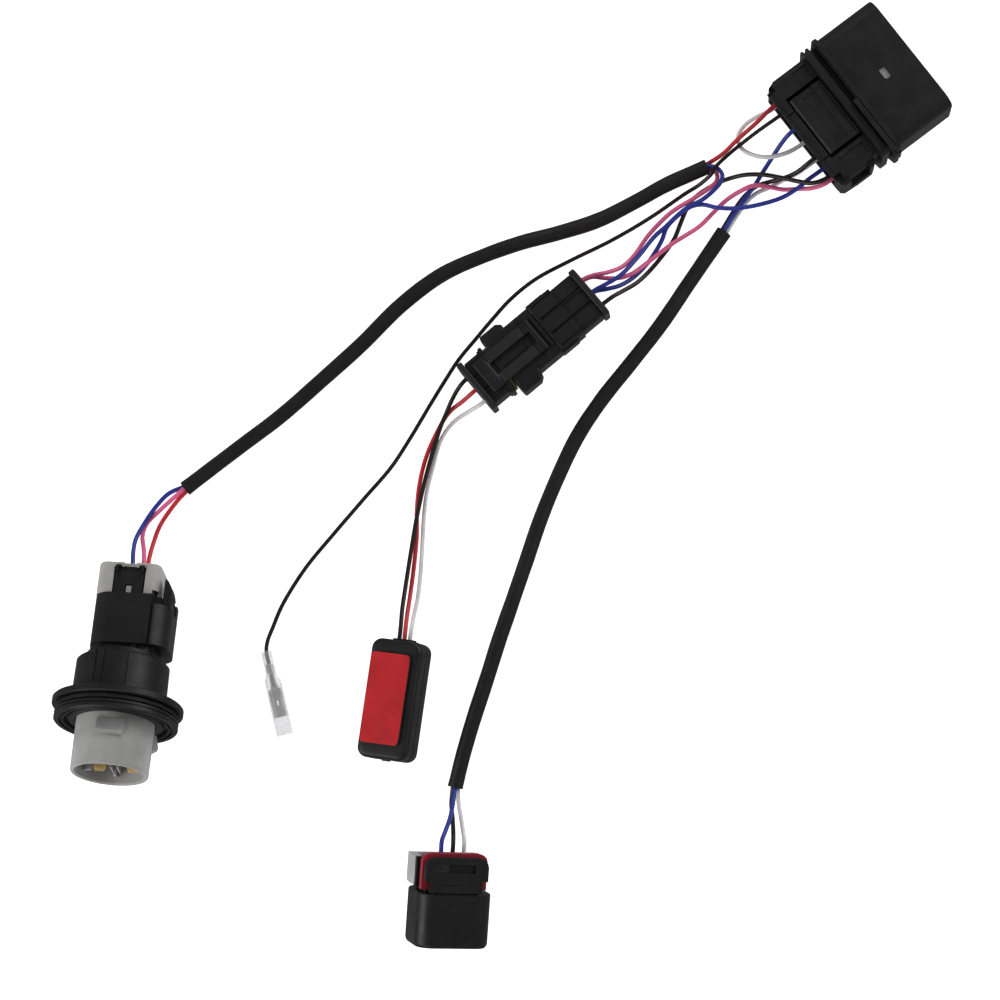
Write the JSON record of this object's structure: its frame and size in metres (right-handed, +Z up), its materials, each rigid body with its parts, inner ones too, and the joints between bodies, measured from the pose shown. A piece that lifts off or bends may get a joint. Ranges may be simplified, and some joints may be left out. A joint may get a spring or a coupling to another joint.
{
  "type": "plug-in adapter harness with control module",
  "caption": "Wire harness laid flat: multi-pin and round plug-in adapters, inline sealed connector, small control module, tail plug and crimped trigger lead.",
  "frame": {"origin": "centre of the footprint of the connectors, module and lead on the surface that the harness lies on", "axes": "+Z up; the harness lies flat on the XY plane, with its longest extent between the main connector and the tail connector along Y; the main connector is at the +X +Y corner and the tail connector at -Y"},
  "size_m": [0.3522, 0.37, 0.0505],
  "materials": {
    "black_plastic": "satin moulded",
    "black_rubber": "matte",
    "grey_plastic": "satin moulded",
    "light_grey_plastic": "satin moulded",
    "red_plastic": "semi-gloss moulded",
    "olive_seal": "matte",
    "tubing": "satin extruded",
    "black_wire": "satin extruded",
    "red_wire": "satin extruded",
    "blue_wire": "satin extruded",
    "pink_wire": "satin extruded",
    "white_wire": "satin extruded",
    "brass": "stamped",
    "tin": "tin plated",
    "board_green": "solder mask",
    "foam": "matte foam",
    "red_liner": "glossy film",
    "clear_vinyl": "clear soft vinyl"
  },
  "bodies": {
    "harness": {"main_plug_housing": "black_plastic", "main_wire_seal": "black_rubber", "lamp_plug_housing": "black_plastic", "lamp_wire_seal": "black_rubber", "inline_cap_housing": "black_plastic", "inline_cap_cover": "black_plastic", "inline_pin_1": "tin", "inline_pin_2": "tin", "inline_pin_3": "tin", "tail_plug_housing": "black_plastic", "tail_wire_seal": "black_rubber", "lead_terminal_cover": "clear_vinyl", "lead_terminal": "tin", "red_lamp_wire": "red_wire", "blue_lamp_wire": "blue_wire", "pink_lamp_wire": "pink_wire", "blue_tail_wire": "blue_wire", "black_tail_wire": "black_wire", "white_tail_wire": "white_wire", "black_trigger_wire": "black_wire", "white_jumper_wire": "white_wire", "black_feed_wire": "black_wire", "pink_feed_wire": "pink_wire", "blue_feed_wire": "blue_wire", "lamp_sleeve": "tubing", "tail_sleeve": "tubing"},
    "main_adapter": {"main_adapter_shell": "black_plastic", "main_adapter_gasket": "black_rubber", "main_adapter_retainer": "light_grey_plastic", "main_pin_1": "tin", "main_pin_2": "tin", "main_pin_3": "tin", "main_pin_4": "tin", "main_pin_5": "tin", "main_pin_6": "tin", "main_pin_7": "tin"},
    "main_latch": {"main_plug_latch": "black_plastic"},
    "lamp_adapter": {"lamp_adapter_body": "black_plastic", "lamp_adapter_o_ring": "black_rubber", "lamp_adapter_socket": "grey_plastic", "lamp_blade_1": "brass", "lamp_blade_2": "brass", "lamp_blade_3": "brass"},
    "lamp_lock": {"lamp_plug_lock": "light_grey_plastic"},
    "lamp_latch": {"lamp_plug_latch": "black_plastic"},
    "module_unit": {"inline_plug_housing": "black_plastic", "inline_seal": "olive_seal", "inline_plug_cover": "black_plastic", "module_black_wire": "black_wire", "module_red_wire": "red_wire", "module_white_wire": "white_wire", "module_case_top": "black_plastic", "module_case_base": "black_plastic", "module_board": "board_green", "module_foam_tape": "foam", "module_tape_liner": "red_liner"},
    "inline_latch": {"inline_plug_latch": "black_plastic"},
    "tail_latch": {"tail_plug_latch": "black_plastic"},
    "tail_cpa": {"tail_plug_cpa": "red_plastic"},
    "tail_lock": {"tail_plug_lock": "light_grey_plastic"}
  },
  "joints": [
    {"name": "main_adapter_slide", "type": "slide", "parent": "harness", "child": "main_adapter", "axis": [0.8007, 0.599, 0], "range_m": [0, 0.018]},
    {"name": "main_latch_press", "type": "hinge", "parent": "harness", "child": "main_latch", "pos_m": [0.13101, 0.14398, 0.0219], "axis": [0.599, -0.8007, 0], "range_deg": [0, 6], "stiffness_Nm_per_rad": 0.4},
    {"name": "lamp_adapter_slide", "type": "slide", "parent": "harness", "child": "lamp_adapter", "axis": [-0.0555, -0.962, 0.2672], "range_m": [0, 0.016]},
    {"name": "lamp_latch_press", "type": "hinge", "parent": "harness", "child": "lamp_latch", "pos_m": [-0.13346, -0.05305, 0.01445], "axis": [0.0154, 0.2668, 0.9636], "range_deg": [0, 3.5], "stiffness_Nm_per_rad": 0.3},
    {"name": "lamp_lock_slide", "type": "slide", "parent": "harness", "child": "lamp_lock", "axis": [0.0555, 0.962, -0.2672], "range_m": [0, 0.004]},
    {"name": "inline_plug_slide", "type": "slide", "parent": "harness", "child": "module_unit", "axis": [-0.7683, -0.6401, 0], "range_m": [0, 0.0085]},
    {"name": "inline_latch_lift", "type": "hinge", "parent": "module_unit", "child": "inline_latch", "pos_m": [-0.0086, 0.03939, 0.0169], "axis": [0.6401, -0.7683, 0], "range_deg": [0, 7], "stiffness_Nm_per_rad": 0.3},
    {"name": "tail_latch_press", "type": "hinge", "parent": "harness", "child": "tail_latch", "pos_m": [-0.01853, -0.16139, 0.02663], "axis": [-0.9237, 0.0161, 0.3827], "range_deg": [0, 4], "stiffness_Nm_per_rad": 0.3},
    {"name": "tail_cpa_slide", "type": "slide", "parent": "harness", "child": "tail_cpa", "axis": [0.0771, 0.9865, 0.1445], "range_m": [0, 0.004]},
    {"name": "tail_lock_slide", "type": "slide", "parent": "harness", "child": "tail_lock", "axis": [0.0771, 0.9865, 0.1445], "range_m": [0, 0.004]}
  ]
}
